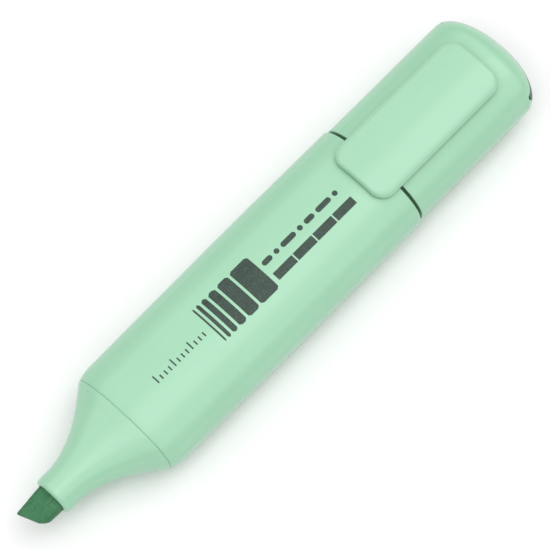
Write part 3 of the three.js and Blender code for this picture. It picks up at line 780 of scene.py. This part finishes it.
def make_dark_green_plastic():
    return moulded_plastic("dark_green_plastic", linear(50, 92, 66), linear(40, 78, 54), 0.3)


def make_print_ink():
    """Pad-printed ink: matt, slightly patchy, with pinholes."""
    shader = Shader("print_ink")
    patches = shader.span(shader.grain(2.2, 1.5), 0, 1, 0.25, 0.75)
    pinholes = shader.span(shader.grain(0.16, 1, 3, 0.6), 0, 1, 0.56, 0.7)
    colour = shader.blend(patches, linear(32, 50, 42), linear(52, 70, 61))
    colour = shader.blend(shader.product(pinholes, 0.45), colour, linear(130, 172, 146))
    shader.set("Base Color", colour)
    shader.set("Roughness", shader.span(patches, 0.5, 0.65, 0, 1))
    shader.relief([(pinholes, -0.003)])
    return shader.material


def make_nib_fibre():
    """Bonded fibre wet with ink: fine strands along the pen, lighter where they fray."""
    shader = Shader("nib_fibre")
    strands = shader.grain(0.14, 22, 3, 0.6)
    tufts = shader.grain(0.5, 3, 3)
    patches = shader.span(shader.grain(2.4, 1), 0, 1)
    colour = shader.blend(shader.span(strands, 0, 1), linear(40, 98, 60), linear(66, 131, 88))
    colour = shader.blend(shader.product(patches, 0.45), colour, linear(40, 96, 62))
    shader.set("Base Color", colour)
    shader.set("Roughness", shader.span(tufts, 0.55, 0.85))
    shader.relief([(tufts, 0.05), (strands, 0.03)])
    return shader.material


def make_ink_fibre():
    """The reservoir's polyester fibre bundle, soaked with ink."""
    shader = Shader("ink_fibre", Sheen_Weight=0.3)
    strands = shader.grain(0.2, 40, 3, 0.6)
    soak = shader.span(shader.grain(8, 2), 0, 1)
    colour = shader.blend(shader.span(strands, 0, 1), linear(120, 196, 145), linear(146, 217, 168))
    shader.set("Base Color", shader.blend(shader.product(soak, 0.4), colour, linear(105, 184, 131)))
    shader.set("Roughness", shader.span(strands, 0.8, 0.95))
    shader.relief([(strands, 0.06)])
    return shader.material


def make_clear_film():
    shader = Shader("clear_film", Transmission_Weight=0.7, IOR=1.5)
    creases = shader.grain(1.2, 12, 2)
    haze = shader.span(shader.grain(5), 0, 1)
    shader.set("Base Color", shader.blend(haze, linear(226, 234, 232), linear(210, 224, 219)))
    shader.set("Roughness", shader.span(haze, 0.12, 0.22, 0, 1))
    shader.relief([(creases, 0.03)])
    return shader.material


def make_natural_plastic():
    return moulded_plastic("natural_plastic", linear(236, 238, 233), linear(226, 230, 224), 0.4,
                           Subsurface_Weight=0.2, Subsurface_Scale=1 * MM)


# ---- the pad print -----------------------------------------------------------------------------

PRINT_PROUD = 0.025             # how far the ink stands out of the barrel
PRINT_SUNK = 0.03
PRINT_CELL = 0.5
PRINT_ROWS = 24
TICK_COUNT = 12
TICK_START_X = -33
TICK_PITCH = 1.2
TICK_WIDTH = 0.32
TICK_FOOT_Y = -0.9
TICK_HEIGHTS = (1.9, 1.1, 1.1, 1.1)
PANEL_REAR_X = -2.2
PANEL_SIDES_Y = (-4.4, 4.9)
PANEL_WIDTHS = (5, 3, 2, 1.3, 0.8, 0.4)
PANEL_GAP = 0.6
PANEL_CORNER = 0.6
ROWS_START_X = -1.2
DASH_LENGTHS = (2.6, 1.2, 4.0, 1.2, 2.6, 4.0, 1.2)
DASH_SIDES_Y = (0.6, 1.8)
DASH_GAP = 0.8
BAR_COUNT = 4
BAR_PITCH = 5.75
BAR_LENGTH = 5.4
BAR_SIDES_Y = (-3.4, -1.5)


def print_slab(bm, low, high, corner=0.0):
    """A thin patch of ink that follows the barrel's crown."""
    (x0, y0), (x1, y1) = low, high
    columns = max(2, round((x1 - x0) / PRINT_CELL))
    rows = PRINT_ROWS
    layers = []
    for proud in (PRINT_PROUD, -PRINT_SUNK):
        grid = []
        for j in range(rows + 1):
            share_y = j / rows
            pull = corner_pull(share_y * (y1 - y0), y1 - y0, corner)
            left, right = x0 + pull, x1 - pull
            line = []
            for i in range(columns + 1):
                x, y = lerp(left, right, i / columns), lerp(y0, y1, share_y)
                base = body_oval(x, barrel_inset(x))
                z = base[2] * (1 - (abs(y) / base[1]) ** POWER) ** (1 / POWER)
                line.append(bm.verts.new((x, y, z + proud)))
            grid.append(line)
        layers.append(grid)
    top, under = layers
    for j in range(rows):
        for i in range(columns):
            for grid in layers:
                bm.faces.new((grid[j][i], grid[j][i + 1], grid[j + 1][i + 1], grid[j + 1][i]))
    for i in range(columns):
        for j in (0, rows):
            bm.faces.new((top[j][i], top[j][i + 1], under[j][i + 1], under[j][i]))
    for j in range(rows):
        for i in (0, columns):
            bm.faces.new((top[j][i], top[j + 1][i], under[j + 1][i], under[j][i]))


def corner_pull(height, full, corner):
    """How far a rounded side is drawn in at this height."""
    short = max(corner - height, corner - (full - height), 0)
    return corner - math.sqrt(max(corner ** 2 - short ** 2, 0))


def make_print():
    """Plain generic marks: a run of ticks, a panel of fading bars, a row of dashes and a split bar."""
    pieces = []
    bm = bmesh.new()
    for k in range(TICK_COUNT):
        x = TICK_START_X + k * TICK_PITCH
        height = TICK_HEIGHTS[k % len(TICK_HEIGHTS)]
        print_slab(bm, (x, TICK_FOOT_Y), (x + TICK_WIDTH, TICK_FOOT_Y + height))
    pieces.append(new_piece("print_ticks", bm))
    bm = bmesh.new()
    x = PANEL_REAR_X
    for width in PANEL_WIDTHS:
        corner = min(PANEL_CORNER, width / 3)
        print_slab(bm, (x - width, PANEL_SIDES_Y[0]), (x, PANEL_SIDES_Y[1]), corner)
        x -= width + PANEL_GAP
    pieces.append(new_piece("print_panel", bm))
    bm = bmesh.new()
    x = ROWS_START_X
    for length in DASH_LENGTHS:
        corner = (DASH_SIDES_Y[1] - DASH_SIDES_Y[0]) / 2
        print_slab(bm, (x, DASH_SIDES_Y[0]), (x + length, DASH_SIDES_Y[1]), corner)
        x += length + DASH_GAP
    pieces.append(new_piece("print_dashes", bm))
    bm = bmesh.new()
    for k in range(BAR_COUNT):
        x = ROWS_START_X + k * BAR_PITCH
        print_slab(bm, (x, BAR_SIDES_Y[0]), (x + BAR_LENGTH, BAR_SIDES_Y[1]))
    pieces.append(new_piece("print_bar", bm))
    return pieces


# ---- assembly ----------------------------------------------------------------------------------

def dress(piece, body, node, material):
    """Finishes a piece: smooth shading, its material, and its place on the CAD."""
    piece.data.shade_smooth()
    piece.data.set_sharp_from_angle(angle=SHARP_ANGLE)
    piece.data.materials.clear()
    piece.data.materials.append(material)
    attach(piece, body)
    if node:
        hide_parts(node)


mint = make_mint_plastic()
dark_green = make_dark_green_plastic()

dress(make_barrel(), "pen_body", "barrel", mint)
dress(make_front_section(), "pen_body", "front_section", mint)
dress(make_nib(), "pen_body", "nib", make_nib_fibre())
dress(make_reservoir_core(), "pen_body", "reservoir_core", make_ink_fibre())
dress(make_reservoir_film(), "pen_body", "reservoir_film", make_clear_film())
dress(make_breather_tube(), "pen_body", "breather_tube", make_natural_plastic())
dress(make_rear_plug(), "pen_body", "rear_plug", dark_green)
dress(make_cap_shell(), "cap", "cap_shell", mint)
dress(make_inner_cap(), "cap", "inner_cap", dark_green)
dress(make_clip(), "clip", "clip", mint)
ink = make_print_ink()
for mark in make_print():
    dress(mark, "pen_body", None, ink)


# ---- studio ------------------------------------------------------------------------------------

TILT = math.radians(14.5)       # the nib end is nearer the camera
ROLL = math.radians(13.5)       # and the pen is rolled a little about its own length
TURN = math.radians(44.95)      # the pen climbs to the right at this angle
CAMERA_DISTANCE = 550
VIEW_WIDTH = 110.7              # of the pen's surroundings that the camera takes in, at the pen's axis
FRAMING = (0.81, 0.79)          # the camera looks this far right of and above the pen's middle
SENSOR = 36
# The two soft panels over the pen. Their sizes are in millimetres.
CEILING = dict(height=1400, offset=-240, length=4400, width=4260, radiance=0.9)
STRIP = dict(height=1200, offset=-100, length=2600, width=600, radiance=1.3)
WORLD_STRENGTH = 0.3
FLOOR_SIZE = 4000


def view_axes():
    """The camera's right, up and backward directions."""
    back = Vector((-math.sin(TILT), -math.sin(ROLL) * math.cos(TILT), math.cos(ROLL) * math.cos(TILT)))
    along = Vector((math.cos(TILT), -math.sin(ROLL) * math.sin(TILT), math.cos(ROLL) * math.sin(TILT)))
    across = Vector((0, math.cos(ROLL), math.sin(ROLL)))
    right = along * math.cos(TURN) - across * math.sin(TURN)
    up = along * math.sin(TURN) + across * math.cos(TURN)
    return right, up, back


def place(thing, right, up, back, location):
    rotation = Matrix((right, up, back)).transposed().to_4x4()
    thing.matrix_world = Matrix.Translation(location * MM) @ rotation
    bpy.context.scene.collection.objects.link(thing)


def make_camera():
    right, up, back = view_axes()
    data = bpy.data.cameras.new("camera")
    data.sensor_width = SENSOR
    data.lens = SENSOR * CAMERA_DISTANCE / VIEW_WIDTH
    data.clip_start = 10 * MM
    data.clip_end = 10
    camera = bpy.data.objects.new("camera", data)
    aim = Vector((0, 0, AXIS_Z)) + right * FRAMING[0] + up * FRAMING[1]
    place(camera, right, up, back, aim + back * CAMERA_DISTANCE)
    bpy.context.scene.camera = camera


def make_softbox(name, height, offset, length, width, radiance):
    """A soft panel over the pen that shines down, with its sides along and across the pen."""
    data = bpy.data.lights.new(name, "AREA")
    data.shape = "RECTANGLE"
    data.size, data.size_y = length * MM, width * MM
    data.energy = radiance * math.pi * length * width * MM ** 2
    softbox = bpy.data.objects.new(name, data)
    softbox.location = Vector((0, offset, height)) * MM
    bpy.context.scene.collection.objects.link(softbox)


def make_world():
    world = bpy.data.worlds.new("studio")
    world.use_nodes = True
    background = world.node_tree.nodes["Background"]
    background.inputs["Color"].default_value = (1, 1, 1, 1)
    background.inputs["Strength"].default_value = WORLD_STRENGTH
    bpy.context.scene.world = world


def make_floor():
    bm = bmesh.new()
    bmesh.ops.create_grid(bm, x_segments=8, y_segments=8, size=FLOOR_SIZE / 2)
    bmesh.ops.translate(bm, vec=(0, 0, -AXIS_Z), verts=bm.verts)
    floor = new_piece("floor", bm)
    shader = Shader("floor_paper", Roughness=0.9)
    shader.set("Base Color", shader.blend(shader.grain(30), linear(244, 244, 244), linear(240, 240, 240)))
    floor.data.materials.append(shader.material)


make_camera()
make_softbox("ceiling", **CEILING)
make_softbox("strip", **STRIP)
make_world()
make_floor()
bpy.context.scene.view_settings.view_transform = "Standard"
